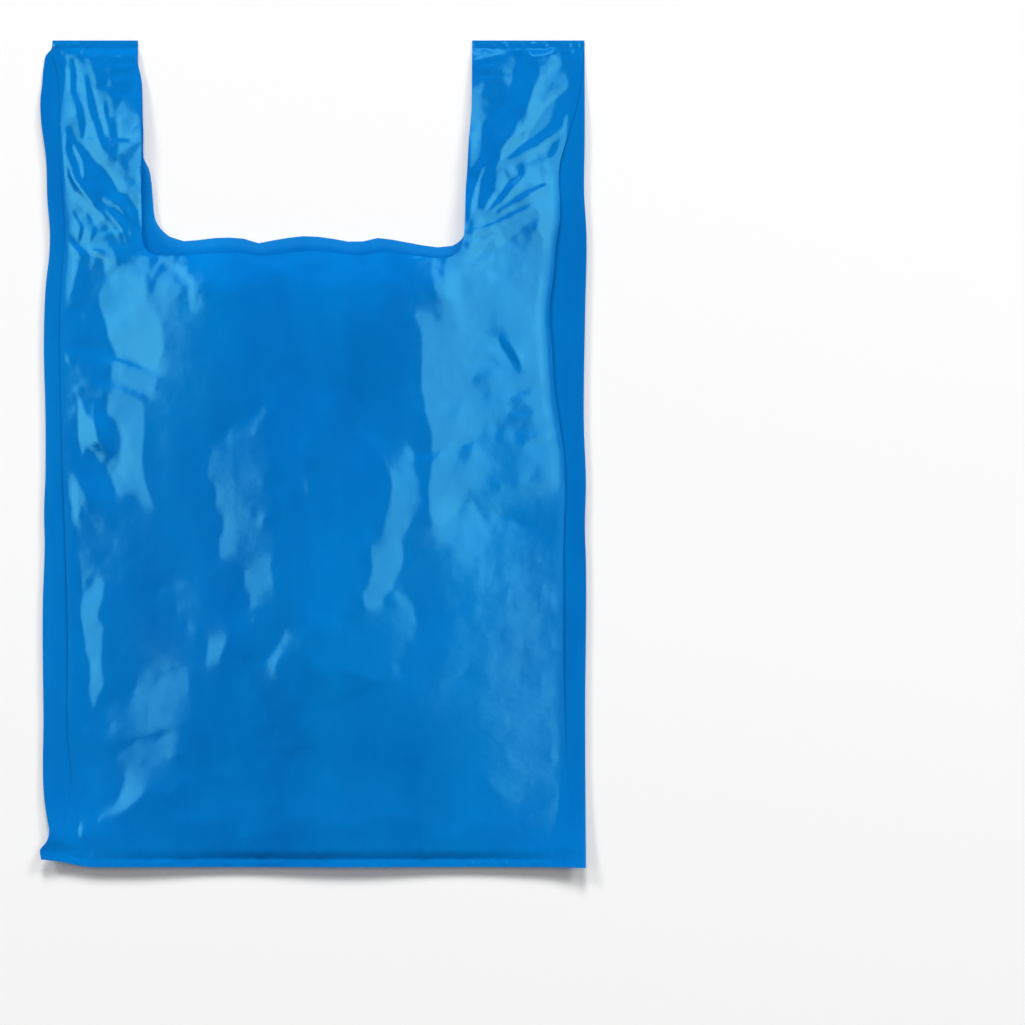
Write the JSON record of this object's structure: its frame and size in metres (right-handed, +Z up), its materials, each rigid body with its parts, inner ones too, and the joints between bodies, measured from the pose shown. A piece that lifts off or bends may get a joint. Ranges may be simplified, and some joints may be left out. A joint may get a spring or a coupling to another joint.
{
  "type": "plastic carrier bag",
  "caption": "Thin film vest carrier bag lying flat and empty, with gusseted sides, welded ends, and loop handles either side of a punched mouth.",
  "frame": {"origin": "centre of the laid bag's outline, on the surface it lies on", "axes": "+X to the right across the bag as seen from above, +Y along its length towards the handles, +Z up from the surface"},
  "size_m": [0.3343, 0.505, 0.0163],
  "materials": {
    "film": "thin translucent blue polyethylene film, semi-gloss, creased"
  },
  "bodies": {
    "root": {"carrier_bag": "film"}
  },
  "joints": []
}
